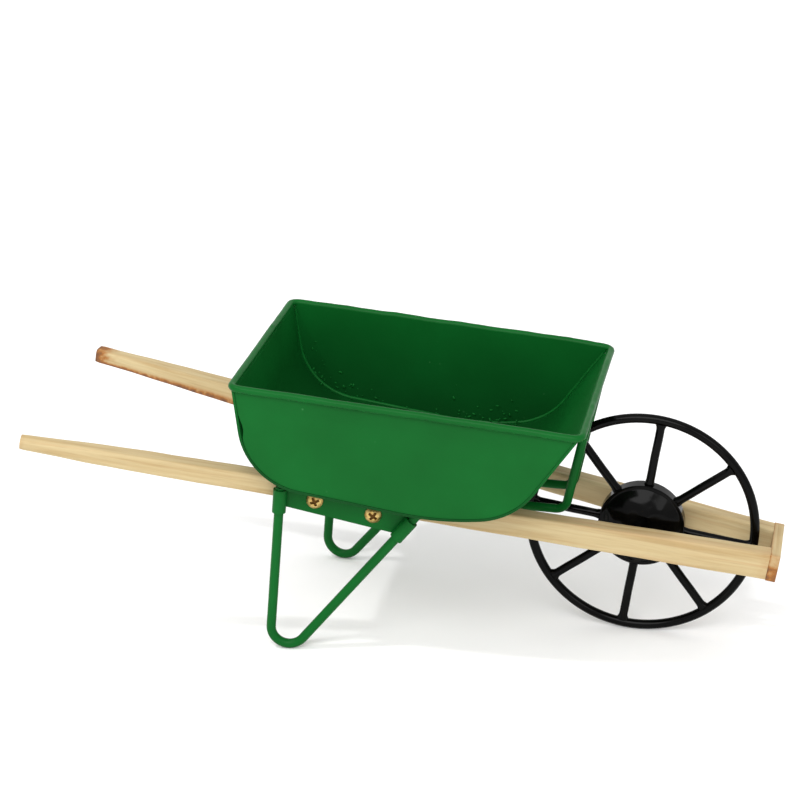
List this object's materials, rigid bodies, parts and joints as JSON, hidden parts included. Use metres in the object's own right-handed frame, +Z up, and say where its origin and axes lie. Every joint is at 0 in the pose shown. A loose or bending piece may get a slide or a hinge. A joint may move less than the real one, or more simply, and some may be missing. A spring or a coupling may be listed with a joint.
{
  "type": "miniature wheelbarrow",
  "caption": "Miniature garden barrow with wooden shafts, an open sheet-metal tray with a rolled rim, wire legs and one free-turning spoked wheel.",
  "frame": {"origin": "on the ground, under the middle of the barrow's overall length and width", "axes": "+X points forward to the wheel, +Y to the barrow's left, +Z up; metres in the row, millimetres in the source"},
  "size_m": [0.1415, 0.0514, 0.0544],
  "materials": {
    "bare_wood": "bare, sanded",
    "green_enamel": "gloss enamel",
    "black_enamel": "gloss enamel",
    "brass": "satin"
  },
  "bodies": {
    "barrow": {"shaft_right": "bare_wood", "shaft_left": "bare_wood", "front_crosspiece": "bare_wood", "tray_wrap": "green_enamel", "tray_side_right": "green_enamel", "tray_side_left": "green_enamel", "tray_rim_bead": "green_enamel", "leg_bracket_right": "green_enamel", "leg_bracket_left": "green_enamel", "leg_rod_right": "green_enamel", "leg_rod_left": "green_enamel", "screw_rear_right": "brass", "screw_front_right": "brass", "screw_rear_left": "brass", "screw_front_left": "brass", "front_support_right": "green_enamel", "front_support_left": "green_enamel", "axle_pin": "black_enamel"},
    "wheel": {"wheel_rim": "black_enamel", "hub_disc": "black_enamel", "hub_cap_right": "black_enamel", "hub_cap_left": "black_enamel", "spoke_1": "black_enamel", "spoke_2": "black_enamel", "spoke_3": "black_enamel", "spoke_4": "black_enamel", "spoke_5": "black_enamel", "spoke_6": "black_enamel", "spoke_7": "black_enamel", "spoke_8": "black_enamel"}
  },
  "joints": [
    {"name": "wheel_spin", "type": "hinge", "parent": "barrow", "child": "wheel", "pos_m": [0.044, 0, 0.0223], "axis": [0, 1, 0], "continuous": true}
  ]
}
